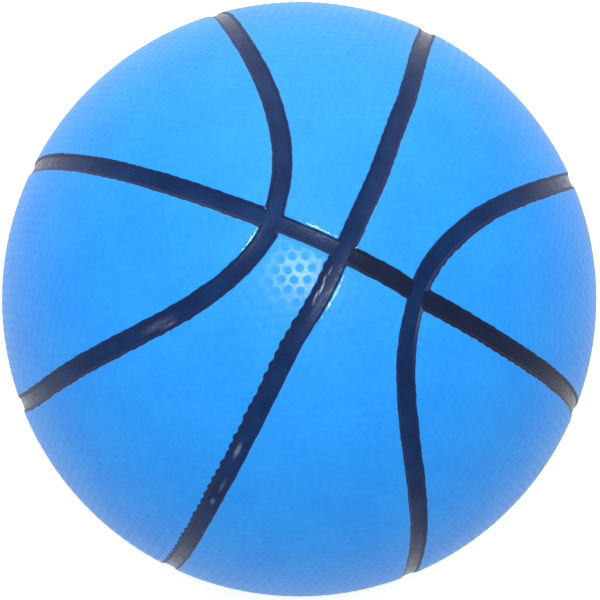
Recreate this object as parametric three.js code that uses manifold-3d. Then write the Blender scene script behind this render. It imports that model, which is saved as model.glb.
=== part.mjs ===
import * as THREE from 'three';
import { mergeVertices } from 'three/addons/utils/BufferGeometryUtils.js';
import Module from 'manifold-3d';

// A small rubber basketball. A bladder with a push-in valve lies inside a thread winding and a rubber
// carcass. Eight cover panels lie on the carcass, with black seam strips in the channels between them.
// Millimetres, origin at the ball's centre. The cross seam and the centre seam meet at the top, +Z,
// the two loop seams lie at the left and right, -X and +X, and the valve faces the rear, +Y.

// Ball and its layers
const BALL_RADIUS = 90;
const COVER_WALL = 1.3;
const CARCASS_WALL = 0.7;
const WINDING_WALL = 0.35;
const BLADDER_WALL = 0.6;
const PIECE_GAP = 0.3;

// Channels between the panels, and the strips that lie in them
const SEAM_WIDTH = 3.4;
const SEAM_STRIP_WALL = 0.6;
const PANEL_EDGE_ROLL = 0.5;

// Courses of the seams, as distances along the ball's surface
const CENTRE_SEAM_OFFSET = 1.8;
const CROSS_SEAM_OFFSET = 0.75;
const LOOP_WAIST = 20;
const LOOP_CROWN = 69.7;
const LOOP_SHOULDER = 4.6;
const LOOP_FLARE = 1.6;

// Valve
const VALVE_RECESS = 0.5;
const VALVE_RIM = 1.4;
const BOOT_WALL = 1.4;
const BOOT_END_WALL = 2;
const AIR_DUCT_RADIUS = 1;
const FLANGE_RADIUS = 11;
const FLANGE_WALL = 0.8;
const PATCH_RADIUS = 16;
const PATCH_WALL = 0.5;
const PLUG_HEAD_RADIUS = 3.2;
const PLUG_HEAD_HEIGHT = 1;
const PLUG_SHAFT_RADIUS = 2.6;
const PLUG_SHAFT_LENGTH = 14;
const PLUG_TIP_RADIUS = 1.4;
const PLUG_TIP_LENGTH = 3;
const NEEDLE_RADIUS = 0.8;
const NEEDLE_DEPTH = 10;

// Fineness of the facets
const ARC_STEPS = 28;
const ACROSS_STEPS = 6;
const CROSSING_STEPS = 3;
const SHELL_DETAIL = 5;
const ROUND_STEPS = 24;
const CAP_STEPS = 4;

const LEFT = -1;
const RIGHT = 1;
const FRONT = -1;
const REAR = 1;
const BOTTOM = -1;
const TOP = 1;
const sideName = { [LEFT]: 'left', [RIGHT]: 'right' };
const halfName = { [FRONT]: 'front', [REAR]: 'rear' };
const endName = { [BOTTOM]: 'bottom', [TOP]: 'top' };

const wasm = await Module();
wasm.setup();

// Materials, one for each kind of piece
const rubber = (color, roughness) => new THREE.MeshStandardMaterial({ color, roughness, metalness: 0 });
const coverBlue = () => rubber(0x3a9ff5, 0.5);
const seamBlack = () => rubber(0x10141f, 0.35);
const carcassBlack = () => rubber(0x1b1c1f, 0.8);
const windingWhite = () => rubber(0xd9d5c8, 0.9);
const bladderBlack = () => rubber(0x232427, 0.6);
const valveBlack = () => rubber(0x16171a, 0.55);
const plugGrey = () => rubber(0x34363b, 0.5);

// Closed geometry with shared corners and its faces turned outwards
function closedGeometry(source) {
  const bare = source.index ? source.toNonIndexed() : source.clone();
  bare.deleteAttribute('normal');
  bare.deleteAttribute('uv');
  const geometry = mergeVertices(bare);
  const corner = [new THREE.Vector3(), new THREE.Vector3(), new THREE.Vector3()];
  const index = Array.from(geometry.index.array);
  const faces = [];
  let volume = 0;
  for (let i = 0; i < index.length; i += 3) {
    const face = index.slice(i, i + 3);
    if (new Set(face).size === 3) {
      face.forEach((vertex, k) => corner[k].fromBufferAttribute(geometry.attributes.position, vertex));
      volume += corner[0].dot(corner[1].clone().cross(corner[2]));
      faces.push(face);
    }
  }
  geometry.setIndex(faces.flatMap((face) => (volume < 0 ? face.reverse() : face)));
  return geometry;
}

function toSolid(source) {
  const geometry = closedGeometry(source);
  const vertProperties = new Float32Array(geometry.attributes.position.array);
  const triVerts = new Uint32Array(geometry.index.array);
  return new wasm.Manifold(new wasm.Mesh({ numProp: 3, vertProperties, triVerts }));
}

function fromSolid(solid) {
  const mesh = solid.getMesh();
  const geometry = new THREE.BufferGeometry();
  geometry.setAttribute('position', new THREE.BufferAttribute(mesh.vertProperties, mesh.numProp));
  geometry.setIndex(new THREE.BufferAttribute(mesh.triVerts, 1));
  return geometry;
}

// Courses of the seams on a sphere of radius 1. The centre and cross seams lie in planes, each given by
// its normal and its distance from the ball's centre. The centre seam runs through the middle of the valve.
const centreLean = CENTRE_SEAM_OFFSET / BALL_RADIUS;
const centreSeam = {
  normal: new THREE.Vector3(1, -centreLean, 0).normalize(),
  level: -centreLean / Math.hypot(1, centreLean),
};
const crossSeam = { normal: new THREE.Vector3(0, 1, 0), level: -CROSS_SEAM_OFFSET / BALL_RADIUS };

// Distance of a plane seam's plane after a sideways shift along the ball's surface
const shiftedLevel = (seam, shift) => Math.sin(Math.asin(seam.level) + shift / BALL_RADIUS);

// Angle between the ball's middle plane and a loop seam: waist at the cross seam, crown halfway between
function loopAngle(turn) {
  const middle = (LOOP_WAIST + LOOP_CROWN) / 2 + LOOP_SHOULDER;
  const swing = (LOOP_WAIST - LOOP_CROWN) / 2 + LOOP_FLARE;
  const bend = LOOP_SHOULDER * Math.cos(4 * turn) + LOOP_FLARE * Math.cos(6 * turn);
  return (middle + swing * Math.cos(2 * turn) - bend) / BALL_RADIUS;
}

function loopDirection(side, turn) {
  const angle = loopAngle(turn);
  const inPlane = Math.cos(angle);
  return new THREE.Vector3(side * Math.sin(angle), inPlane * Math.sin(turn), inPlane * Math.cos(turn));
}

// Point beside a loop seam; a positive shift leads away from the ball's middle plane
function loopPoint(side, shift, turn) {
  const step = 1e-4;
  const point = loopDirection(side, turn);
  const along = loopDirection(side, turn + step).sub(loopDirection(side, turn - step));
  const sideways = along.cross(point).normalize();
  sideways.multiplyScalar(Math.sign(sideways.x) * side);
  const angle = shift / BALL_RADIUS;
  return point.multiplyScalar(Math.cos(angle)).addScaledVector(sideways, Math.sin(angle));
}

// Turn of a loop's shifted line where it meets the shifted cross seam, near the top or the bottom
function loopCrossingTurn(side, shift, crossShift, end) {
  const level = shiftedLevel(crossSeam, crossShift);
  const reach = Math.PI / 8;
  const halvings = 50;
  let low = -reach;
  let high = reach;
  for (let round = 0; round < halvings; round += 1) {
    const middle = (low + high) / 2;
    const turn = end === TOP ? middle : Math.PI - middle;
    if (loopPoint(side, shift, turn).y < level) {
      low = middle;
    } else {
      high = middle;
    }
  }
  return end === TOP ? low : Math.PI - low;
}

// Line beside a loop seam from the top to the bottom, through the front or the rear half
function loopLine(side, shift, half, crossShift) {
  const start = loopCrossingTurn(side, shift, crossShift, TOP);
  const finish = loopCrossingTurn(side, shift, crossShift, BOTTOM) - (half === FRONT ? 2 * Math.PI : 0);
  return Array.from({ length: ARC_STEPS + 1 }, (_, i) => (
    loopPoint(side, shift, THREE.MathUtils.lerp(start, finish, i / ARC_STEPS))
  ));
}

// Corner at the top or the bottom where the shifted centre and cross seams meet
function seamCorner(centreShift, crossShift, end) {
  const centreLevel = shiftedLevel(centreSeam, centreShift);
  const crossLevel = shiftedLevel(crossSeam, crossShift);
  const cosine = centreSeam.normal.dot(crossSeam.normal);
  const sineSquared = 1 - cosine * cosine;
  const corner = centreSeam.normal.clone().multiplyScalar((centreLevel - cosine * crossLevel) / sineSquared);
  corner.addScaledVector(crossSeam.normal, (crossLevel - cosine * centreLevel) / sineSquared);
  corner.z = end * Math.sqrt(1 - corner.lengthSq());
  return corner;
}

// Arc beside a plane seam between two of its points, on the side of the ball that via points to
function planeLine(seam, shift, from, to, via, steps) {
  const hub = seam.normal.clone().multiplyScalar(shiftedLevel(seam, shift));
  const spoke = from.clone().sub(hub);
  const across = seam.normal.clone().cross(spoke);
  const last = to.clone().sub(hub);
  const at = (angle) => spoke.clone().multiplyScalar(Math.cos(angle)).addScaledVector(across, Math.sin(angle));
  let sweep = Math.atan2(last.dot(across), last.dot(spoke));
  if (at(sweep / 2).dot(via) < 0) {
    sweep -= Math.sign(sweep) * 2 * Math.PI;
  }
  return Array.from({ length: steps + 1 }, (_, i) => at((sweep * i) / steps).add(hub));
}

// Grid of directions that fills the space between four lines; left and right run from bottom to top
function fillGrid(bottom, top, left, right) {
  const columns = bottom.length - 1;
  const rows = left.length - 1;
  return left.map((_, j) => bottom.map((__, i) => {
    const u = i / columns;
    const v = j / rows;
    const point = new THREE.Vector3();
    point.addScaledVector(bottom[i], 1 - v).addScaledVector(top[i], v);
    point.addScaledVector(left[j], 1 - u).addScaledVector(right[j], u);
    point.addScaledVector(bottom[0], -(1 - u) * (1 - v)).addScaledVector(bottom[columns], -u * (1 - v));
    point.addScaledVector(top[0], -(1 - u) * v).addScaledVector(top[columns], -u * v);
    return point.normalize();
  }));
}

const channelHalf = SEAM_WIDTH / 2;
const stripHalf = channelHalf - PIECE_GAP;

// Panel beside the centre seam, from the top to the bottom of one half
function centrePanelGrid(side, half, inset) {
  const shift = channelHalf + inset;
  const via = new THREE.Vector3(0, half, 0);
  const outer = loopLine(side, -shift, half, half * shift);
  const corners = [TOP, BOTTOM].map((end) => seamCorner(side * shift, half * shift, end));
  const inner = planeLine(centreSeam, side * shift, corners[0], corners[1], via, ARC_STEPS);
  const ends = [TOP, BOTTOM].map((end, k) => {
    const far = outer[k * ARC_STEPS];
    return planeLine(crossSeam, half * shift, corners[k], far, new THREE.Vector3(0, 0, end), ACROSS_STEPS);
  });
  return fillGrid(inner, outer, ends[0], ends[1]);
}

// Panel inside a loop, on one side of the cross seam; the loop's line makes three of its four sides
function sidePanelGrid(side, half, inset) {
  const shift = channelHalf + inset;
  const via = new THREE.Vector3(side, 0, 0);
  const loop = loopLine(side, shift, half, half * shift);
  const topSteps = ARC_STEPS - 2 * ACROSS_STEPS;
  const straight = planeLine(crossSeam, half * shift, loop[0], loop[ARC_STEPS], via, topSteps);
  const left = loop.slice(0, ACROSS_STEPS + 1);
  const crown = loop.slice(ACROSS_STEPS, ARC_STEPS - ACROSS_STEPS + 1);
  const right = loop.slice(ARC_STEPS - ACROSS_STEPS).reverse();
  return fillGrid(straight, crown, left, right);
}

// Length of the cross seam between the centre seam and a loop, at the top or the bottom
function crossingGrid(side, end) {
  const via = new THREE.Vector3(0, 0, end);
  return [-stripHalf, stripHalf].map((shift) => {
    const near = seamCorner(side * channelHalf, shift, end);
    const far = loopPoint(side, -channelHalf, loopCrossingTurn(side, -channelHalf, shift, end));
    return planeLine(crossSeam, shift, near, far, via, CROSSING_STEPS);
  });
}

// Length of the cross seam inside a loop, over the ball's side
function sideCrossingGrid(side) {
  const via = new THREE.Vector3(side, 0, 0);
  return [-stripHalf, stripHalf].map((shift) => {
    const ends = [TOP, BOTTOM].map((end) => (
      loopPoint(side, channelHalf, loopCrossingTurn(side, channelHalf, shift, end))
    ));
    return planeLine(crossSeam, shift, ends[0], ends[1], via, ARC_STEPS - 2 * ACROSS_STEPS);
  });
}

// Both edges of a strip that runs all the way round, as rows of a grid
function loopRingGrid(side) {
  return [-stripHalf, stripHalf].map((shift) => {
    const rear = loopLine(side, shift, REAR, channelHalf);
    const front = loopLine(side, shift, FRONT, -channelHalf).reverse();
    return [...rear, ...front];
  });
}

function centreRingGrid() {
  return [-stripHalf, stripHalf].map((shift) => {
    const halves = [REAR, FRONT].map((half) => {
      const ends = [TOP, BOTTOM].map((end) => seamCorner(shift, half * channelHalf, end));
      return planeLine(centreSeam, shift, ends[0], ends[1], new THREE.Vector3(0, half, 0), ARC_STEPS);
    });
    return [...halves[0], ...halves[1].reverse()];
  });
}

// Triangles of a grid, each cell split along its shorter diagonal
function gridTriangles(grid) {
  const triangles = [];
  for (let j = 1; j < grid.length; j += 1) {
    for (let i = 1; i < grid[j].length; i += 1) {
      const [a, b, c, d] = [grid[j - 1][i - 1], grid[j - 1][i], grid[j][i], grid[j][i - 1]];
      if (a.distanceTo(c) <= b.distanceTo(d)) {
        triangles.push([a, b, c], [a, c, d]);
      } else {
        triangles.push([a, b, d], [b, c, d]);
      }
    }
  }
  return triangles;
}

// Smallest distance of a grid's facets from the centre of a sphere of radius 1
const facet = new THREE.Plane();
function facetDistance(a, b, c) {
  facet.setFromCoplanarPoints(a, b, c);
  return Math.abs(facet.constant);
}

function gridDepth(grid) {
  const distances = gridTriangles(grid).map(([a, b, c]) => facetDistance(a, b, c));
  return Math.min(...distances);
}

function shellDepth() {
  const position = new THREE.IcosahedronGeometry(1, SHELL_DETAIL).attributes.position;
  const corners = Array.from({ length: position.count }, (_, i) => (
    new THREE.Vector3().fromBufferAttribute(position, i)
  ));
  let depth = 1;
  for (let i = 0; i < corners.length; i += 3) {
    depth = Math.min(depth, facetDistance(corners[i], corners[i + 1], corners[i + 2]));
  }
  return depth;
}

// Faces collected as triangles of points
class FaceList {
  constructor() {
    this.values = [];
  }

  triangle(corners) {
    corners.forEach((point) => this.values.push(point.x, point.y, point.z));
  }

  geometry() {
    const geometry = new THREE.BufferGeometry();
    geometry.setAttribute('position', new THREE.Float32BufferAttribute(this.values, 3));
    return closedGeometry(geometry);
  }
}

const scaled = (grid, radius) => grid.map((row) => row.map((point) => point.clone().multiplyScalar(radius)));

// Points round the border of a grid, in order
function border(grid) {
  const last = grid.length - 1;
  const end = grid[0].length - 1;
  const rightSide = grid.slice(1, last).map((row) => row[end]);
  const leftSide = grid.slice(1, last).map((row) => row[0]).reverse();
  return [...grid[0], ...rightSide, ...grid[last].slice().reverse(), ...leftSide];
}

function addGrid(faces, grid, outwards) {
  gridTriangles(grid).forEach((corners) => faces.triangle(outwards ? corners : corners.reverse()));
}

// Wall between two closed lines with as many points
function addWall(faces, lower, upper) {
  addGrid(faces, [[...lower, lower[0]], [...upper, upper[0]]], true);
}

// Curved plate between two radii. The outer face may be inset, which rolls its edge.
function plateGeometry(innerGrid, innerRadius, outerGrid, outerRadius, roll) {
  const faces = new FaceList();
  const inner = scaled(innerGrid, innerRadius);
  const outer = scaled(outerGrid, outerRadius);
  addGrid(faces, inner, false);
  addGrid(faces, outer, true);
  if (roll > 0) {
    const shoulder = border(scaled(innerGrid, outerRadius - roll));
    addWall(faces, border(inner), shoulder);
    addWall(faces, shoulder, border(outer));
  } else {
    addWall(faces, border(inner), border(outer));
  }
  return faces.geometry();
}

// Strip that runs all the way round between two radii
function ringGeometry(grid, innerRadius, outerRadius) {
  const faces = new FaceList();
  const closed = grid.map((row) => [...row, row[0]]);
  const [innerA, innerB] = scaled(closed, innerRadius);
  const [outerA, outerB] = scaled(closed, outerRadius);
  const walls = [[innerB, innerA], [outerA, outerB], [innerA, outerA], [outerB, innerB]];
  walls.forEach(([from, to]) => addGrid(faces, [from, to], true));
  return faces.geometry();
}

// All the grids that lie on the carcass
const sides = [LEFT, RIGHT];
const halves = [FRONT, REAR];
const panels = sides.flatMap((side) => halves.flatMap((half) => [
  { name: `centre_panel_${sideName[side]}_${halfName[half]}`, grid: (inset) => centrePanelGrid(side, half, inset) },
  { name: `side_panel_${sideName[side]}_${halfName[half]}`, grid: (inset) => sidePanelGrid(side, half, inset) },
]));
const crossings = sides.flatMap((side) => [
  ...[TOP, BOTTOM].map((end) => ({
    name: `cross_seam_${endName[end]}_${sideName[side]}`,
    grid: crossingGrid(side, end),
  })),
  { name: `cross_seam_${sideName[side]}`, grid: sideCrossingGrid(side) },
]);
const rings = [
  { name: 'centre_seam', grid: centreRingGrid() },
  ...sides.map((side) => ({ name: `${sideName[side]}_loop_seam`, grid: loopRingGrid(side) })),
];

// Radii of the layers. Flat facets lie a little inside their corners, so each layer is set below the
// lowest facet of the layer around it.
const allGrids = [...panels.map((panel) => panel.grid(0)), ...[...crossings, ...rings].map((strip) => strip.grid)];
const coverInner = BALL_RADIUS - COVER_WALL;
const stripOuter = coverInner + SEAM_STRIP_WALL;
const carcassOuter = coverInner * Math.min(...allGrids.map(gridDepth)) - PIECE_GAP;
const windingOuter = carcassOuter - CARCASS_WALL - PIECE_GAP;
const bladderOuter = windingOuter - WINDING_WALL - PIECE_GAP;
const patchOuter = (bladderOuter - BLADDER_WALL) * shellDepth() - PIECE_GAP;
const flangeOuter = patchOuter - PATCH_WALL - PIECE_GAP;

// Levels and radii of the valve, along +Y
const valveFace = BALL_RADIUS - VALVE_RECESS;
const headSeat = valveFace - PLUG_HEAD_HEIGHT;
const plugTip = headSeat - PLUG_SHAFT_LENGTH;
const socketRadius = PLUG_HEAD_RADIUS + PIECE_GAP;
const boreRadius = PLUG_SHAFT_RADIUS + PIECE_GAP;
const neckRadius = socketRadius + VALVE_RIM;
const valveHoleRadius = neckRadius + PIECE_GAP;

// Hole for the valve's neck through every layer
const holeDepth = 2 * (BALL_RADIUS - flangeOuter);
const holeShape = new THREE.CylinderGeometry(valveHoleRadius, valveHoleRadius, 2 * holeDepth, ROUND_STEPS);
const valveHole = toSolid(holeShape.translate(0, BALL_RADIUS, 0));
const cutForValve = (geometry) => fromSolid(toSolid(geometry).subtract(valveHole));

function shellGeometry(outerRadius, wall) {
  const outer = toSolid(new THREE.IcosahedronGeometry(outerRadius, SHELL_DETAIL));
  const inner = toSolid(new THREE.IcosahedronGeometry(outerRadius - wall, SHELL_DETAIL));
  return fromSolid(outer.subtract(inner).subtract(valveHole));
}

const turned = (profile) => closedGeometry(
  new THREE.LatheGeometry(profile.map(([radius, level]) => new THREE.Vector2(radius, level)), ROUND_STEPS),
);

// Points of a cap of a sphere, from one distance off the valve's axis to another
function capLine(sphereRadius, from, to) {
  return Array.from({ length: CAP_STEPS + 1 }, (_, i) => {
    const radius = THREE.MathUtils.lerp(from, to, i / CAP_STEPS);
    return [radius, Math.sqrt(sphereRadius * sphereRadius - radius * radius)];
  });
}

function valvePatchGeometry() {
  const outside = capLine(patchOuter, valveHoleRadius, PATCH_RADIUS);
  const inside = capLine(patchOuter - PATCH_WALL, PATCH_RADIUS, valveHoleRadius);
  return turned([...outside, ...inside, outside[0]]);
}

function valveBootGeometry() {
  const tubeRadius = boreRadius + BOOT_WALL;
  const boreEnd = plugTip - PIECE_GAP;
  const bootEnd = boreEnd - BOOT_END_WALL;
  const top = [neckRadius, valveFace];
  return turned([
    top,
    ...capLine(flangeOuter, neckRadius, FLANGE_RADIUS),
    ...capLine(flangeOuter - FLANGE_WALL, FLANGE_RADIUS, tubeRadius),
    [tubeRadius, bootEnd],
    [AIR_DUCT_RADIUS, bootEnd],
    [AIR_DUCT_RADIUS, boreEnd],
    [boreRadius, boreEnd],
    [boreRadius, headSeat - PIECE_GAP],
    [socketRadius, headSeat - PIECE_GAP],
    [socketRadius, valveFace],
    top,
  ]);
}

function valvePlugGeometry() {
  return turned([
    [0, valveFace - NEEDLE_DEPTH],
    [NEEDLE_RADIUS, valveFace - NEEDLE_DEPTH],
    [NEEDLE_RADIUS, valveFace],
    [PLUG_HEAD_RADIUS, valveFace],
    [PLUG_HEAD_RADIUS, headSeat],
    [PLUG_SHAFT_RADIUS, headSeat],
    [PLUG_SHAFT_RADIUS, plugTip + PLUG_TIP_LENGTH],
    [PLUG_TIP_RADIUS, plugTip],
    [0, plugTip],
  ]);
}

// The assembly
const ball = new THREE.Group();
function addPiece(name, geometry, material) {
  const mesh = new THREE.Mesh(geometry, material);
  mesh.name = name;
  ball.add(mesh);
}

addPiece('bladder', shellGeometry(bladderOuter, BLADDER_WALL), bladderBlack());
addPiece('valve_patch', valvePatchGeometry(), bladderBlack());
addPiece('valve_boot', valveBootGeometry(), valveBlack());
addPiece('valve_plug', valvePlugGeometry(), plugGrey());
addPiece('thread_winding', shellGeometry(windingOuter, WINDING_WALL), windingWhite());
addPiece('carcass', shellGeometry(carcassOuter, CARCASS_WALL), carcassBlack());

panels.forEach(({ name, grid }) => {
  const plate = plateGeometry(grid(0), coverInner, grid(PANEL_EDGE_ROLL), BALL_RADIUS, PANEL_EDGE_ROLL);
  addPiece(name, cutForValve(plate), coverBlue());
});
crossings.forEach(({ name, grid }) => {
  addPiece(name, plateGeometry(grid, coverInner, grid, stripOuter, 0), seamBlack());
});
rings.forEach(({ name, grid }) => {
  addPiece(name, cutForValve(ringGeometry(grid, coverInner, stripOuter)), seamBlack());
});

export default ball;
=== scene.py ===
import math

import bmesh
import bpy
import numpy as np
from mathutils import Matrix, Vector
from mathutils.geometry import delaunay_2d_cdt
from mathutils.kdtree import KDTree


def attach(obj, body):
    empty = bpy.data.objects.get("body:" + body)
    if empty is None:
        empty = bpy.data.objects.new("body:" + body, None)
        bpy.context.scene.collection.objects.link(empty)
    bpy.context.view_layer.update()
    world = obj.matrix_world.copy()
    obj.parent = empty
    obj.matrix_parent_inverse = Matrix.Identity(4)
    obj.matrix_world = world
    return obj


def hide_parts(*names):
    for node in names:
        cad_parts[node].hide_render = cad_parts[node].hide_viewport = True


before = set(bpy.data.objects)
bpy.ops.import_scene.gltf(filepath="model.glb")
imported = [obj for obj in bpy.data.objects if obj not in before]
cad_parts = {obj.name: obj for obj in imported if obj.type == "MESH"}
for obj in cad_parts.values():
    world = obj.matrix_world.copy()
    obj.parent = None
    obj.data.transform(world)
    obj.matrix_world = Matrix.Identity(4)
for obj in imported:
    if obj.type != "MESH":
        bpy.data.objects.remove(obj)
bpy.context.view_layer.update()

# A small rubber basketball: eight pebbled cover panels with painted seam channels between them, and a push-in
# valve at the rear. Metres, origin at the ball's centre. The cross seam and the centre seam meet at the top,
# +Z, the two loop seams lie at the left and right, -X and +X, and the valve faces the rear, +Y.
MM = 0.001

LEFT, RIGHT = -1, 1
FRONT, REAR = -1, 1
BOTTOM, TOP = -1, 1
SIDE_NAME = {LEFT: "left", RIGHT: "right"}
HALF_NAME = {FRONT: "front", REAR: "rear"}
END_NAME = {BOTTOM: "bottom", TOP: "top"}

# Ball, as in the solids
BALL_RADIUS = 90 * MM
COVER_WALL = 1.3 * MM
COVER_INNER = BALL_RADIUS - COVER_WALL
SEAM_WIDTH = 3.4 * MM
CHANNEL_HALF = SEAM_WIDTH / 2
CENTRE_SEAM_OFFSET = 1.8 * MM
CROSS_SEAM_OFFSET = 0.75 * MM
LOOP_WAIST = 20 * MM
LOOP_CROWN = 69.7 * MM
LOOP_SHOULDER = 4.6 * MM
LOOP_FLARE = 1.6 * MM

# Wander of the hand-laid seams from their courses: place along the seam and sideways shift, in millimetres,
# and the distances from a seam between which its wander fades
CROSS_WANDER = ((-80, 0), (-40, 0.3), (-8, 0.75), (8, 0.2), (24, -0.9), (45, -0.9), (80, 0))
CENTRE_WANDER = ((-85, 0.3), (-62, -0.1), (-27, -0.5), (-10, 0.8), (18, 0.85), (42, 0), (66, -1.1), (84, 0))
LOOP_WANDER = ((-45, 0), (-7, 0.6), (7, -0.5), (40, -0.35), (80, 0))
CENTRE_WANDER_REACH = (6, 14)
CROSS_WANDER_REACH = (4, 30)

# Pebbles of the cover: low domes in rows, with a flat web between them
PEBBLE_PITCH = 2.95 * MM
PEBBLE_RADIUS = 1.1 * MM
PEBBLE_HEIGHT = 0.045 * MM
FIRST_ROW = 0.75 * MM
PEBBLE_SCATTER = 0.34 * MM
SCATTER_SEED = 7
ROW_PITCH = PEBBLE_PITCH * math.sqrt(3) / 2
WEB_RADIUS = BALL_RADIUS - PEBBLE_HEIGHT
# Rings of points on a pebble: share of its radius, number of points
PEBBLE_RINGS = ((0.55, 6), (1.0, 12))
# Direction that sets where the points of a ring begin
RING_REFERENCE = (0.0, 0.6, 0.8)

# Rolled edge of a panel, and the dished strip at the foot of it
EDGE_WIDTH = 1.6 * MM
EDGE_DEPTH = 0.36 * MM
EDGE_POWER = 3
ROLL_STEPS = 8
EDGE_STEP = 0.55 * MM
SHOULDER = 1.1 * MM
STRIP_SINK = 0.02 * MM
STRIP_DISH = 0.09 * MM
STRIP_CLEARANCE = 0.015 * MM
STRIP_STEP = 1.0 * MM
STRIP_ACROSS = 8
SHARP_ANGLE = math.radians(40)

# Fineness of the panels: how far outside a border a pebble may still be centred, how far inside it a point
# keeps off it, how many samples of an edge measure the paint's distance, and what the inner face leaves out
EDGE_SPILL = 0.3 * MM
EDGE_CLEAR = 0.15 * MM
PAINT_SAMPLES = 6
INNER_SKIP = 5
# Share of the texture map that a panel's outer face takes, share of the corner beside it that the inner face
# takes, and the tilt of each panel's map
OUTER_CHART = 0.9
INNER_CHART = 0.9
CENTRE_CHART_SIDE = 0.35
SIDE_CHART_HALF = 0.5

# Sums: samples that measure a line's length, fewest steps along a line, halvings that find a crossing and the
# turn to either side that they search, small step along a line, and the tolerances of flat meshes and welds
LENGTH_SAMPLES = 65
LEAST_STEPS = 4
HALVINGS = 50
CROSSING_TURN = math.pi / 8
SMALL_STEP = 1e-4
FLAT_TOLERANCE = 1e-9
WELD_DISTANCE = 1e-7
# Kind of result asked from the triangulation: only what lies inside the outline
INSIDE_ONLY = 1

# Valve, along +Y
VALVE_HOLE_RADIUS = 5.2 * MM
VALVE_RECESS = 0.5 * MM
VALVE_FACE = BALL_RADIUS - VALVE_RECESS
PLUG_HEAD_RADIUS = 3.2 * MM
PLUG_HEAD_HEIGHT = 1 * MM
PLUG_SEAT = VALVE_FACE - PLUG_HEAD_HEIGHT
PLUG_SHAFT_RADIUS = 2.6 * MM
PLUG_SHAFT_LENGTH = 14 * MM
PLUG_END = PLUG_SEAT - PLUG_SHAFT_LENGTH
PLUG_TIP_RADIUS = 1.4 * MM
PLUG_TIP_LENGTH = 3 * MM
NEEDLE_RADIUS = 0.8 * MM
NEEDLE_DEPTH = 10 * MM
VALVE_RIM = 1.4 * MM
BOOT_WALL = 1.4 * MM
AIR_DUCT_RADIUS = 1 * MM
PIECE_GAP = 0.3 * MM
PLUG_DISH = 0.25 * MM
VALVE_EASE = 0.25 * MM
# Most that an eased corner takes of the sides that meet in it
EASE_SHARE = 0.45
TURN_STEPS = 72
CAP_STEPS = 6

# Seam paint on a panel's rolled edge: its reach on the web, how much further it goes over raised pebbles, and
# how much of its reach it loses where the edge meets the cross seam
CLEAN_PAINT = (0.8 * MM, 0.1 * MM, 0.0)
RAGGED_PAINT = (0.95 * MM, 0.22 * MM, 0.0)
SCALLOPED_PAINT = (0.95 * MM, 0.55 * MM, 0.0)
NARROW_PAINT = (0.48 * MM, 0.05 * MM, 0.0)
THINNING_PAINT = (1.1 * MM, 0.15 * MM, 0.7 * MM)
BARE_EDGE = (-4 * MM, 0.0, 0.0)
# How far from the cross seam that loss lasts
PAINT_THINNING_LENGTH = 26 * MM
# Edges whose paint isn't clean, by panel
EDGE_PAINT = {
    ("centre", LEFT, FRONT): {"centre": SCALLOPED_PAINT, "cross": NARROW_PAINT, "loop": RAGGED_PAINT},
    ("centre", LEFT, REAR): {"cross": NARROW_PAINT},
    ("centre", RIGHT, FRONT): {"centre": NARROW_PAINT},
    ("side", LEFT, FRONT): {"loop": THINNING_PAINT},
    ("side", RIGHT, FRONT): {"cross": RAGGED_PAINT},
    ("side", RIGHT, REAR): {"loop": RAGGED_PAINT},
}
# Width of the paint's soft border and of its wandering, in millimetres
PAINT_SOFTNESS = 0.12
PAINT_WOBBLE = 0.5

# Places where the seam paint is worn, and streaks of painted sheen and glints on it: place along the seam as
# a share of its length, shift sideways, length and width in millimetres, strength
CENTRE_WEAR_AND_SHEEN = (
    # Worn paint: pale scuffs on the lower half of the centre seam
    (0.348, -0.5, 3.2, 0.7, 0.53),
    (0.382, 0.0, 1.4, 0.8, 0.53),
    (0.37, 0.3, 4.0, 0.6, 0.36),
    # Painted glints: a broken pale line along the centre seam's left lip, below the crossing
    (0.257, -0.84, 1.4, 0.25, 0.6),
    (0.261, -1.26, 1.2, 0.25, 0.65),
    (0.265, -0.84, 1.5, 0.25, 1.0),
    (0.269, -1.26, 1.3, 0.25, 0.75),
    (0.272, -0.84, 1.0, 0.25, 0.5),
    # Painted sheen: a broad pale streak in the middle of the centre seam, below the crossing
    (0.272, 0.3, 6.0, 0.8, 0.27),
)
# Painted sheen on the front part of the left loop seam: a pale streak near its edge and a broad greyish patch
LEFT_LOOP_SHEEN = ((0.939, -1.45, 3.0, 0.35, 0.52), (0.934, 0.0, 8.0, 1.7, 0.31))
# Middle and reach of the rubbed area, where the web of one front panel and the rolled edges of all are glossy
RUBBED_PANEL = "centre_panel_left_front_pebbled"
POLISH_CENTRE = (-0.12, -0.155, 0.981)
POLISH_LENGTH = 34 * MM

# Colours
COVER_BLUE = (0.011, 0.29, 0.94, 1)
COVER_BLUE_PALE = (0.02, 0.348, 0.98, 1)
SEAM_NAVY = (0.0015, 0.016, 0.074, 1)
SEAM_NAVY_PALE = (0.003, 0.028, 0.112, 1)
SEAM_BLACK = (0.003, 0.008, 0.034, 1)
SEAM_BLACK_PALE = (0.004, 0.012, 0.046, 1)
# Seam paint on the panels' rolled lips: a darker copy of the strips' paint, painted shade along the channels'
# edges
SHADED_LIP_NAVY = (0.0, 0.01, 0.066, 1)
SHADED_LIP_BLACK = (0.0, 0.003, 0.024, 1)
# Pale grey-blue of worn paint, used also for the painted sheen and glints on the seams
SEAM_WEAR_AND_SHEEN = (0.4, 0.44, 0.6, 1)
THREAD_PALE = (0.7, 0.67, 0.58, 1)
THREAD_SHADE = (0.45, 0.42, 0.35, 1)
# Plain rubbers: dark and pale colour, roughness, size of the grain
PLAIN_RUBBERS = {
    "carcass_rubber": ((0.016, 0.016, 0.018, 1), (0.028, 0.028, 0.03, 1), 0.75, 0.6 * MM),
    "bladder_rubber": ((0.018, 0.018, 0.02, 1), (0.035, 0.035, 0.04, 1), 0.55, 0.8 * MM),
    "valve_rubber": ((0.012, 0.013, 0.015, 1), (0.022, 0.023, 0.026, 1), 0.5, 0.3 * MM),
    "plug_rubber": ((0.04, 0.042, 0.047, 1), (0.06, 0.062, 0.068, 1), 0.45, 0.3 * MM),
}

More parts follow.
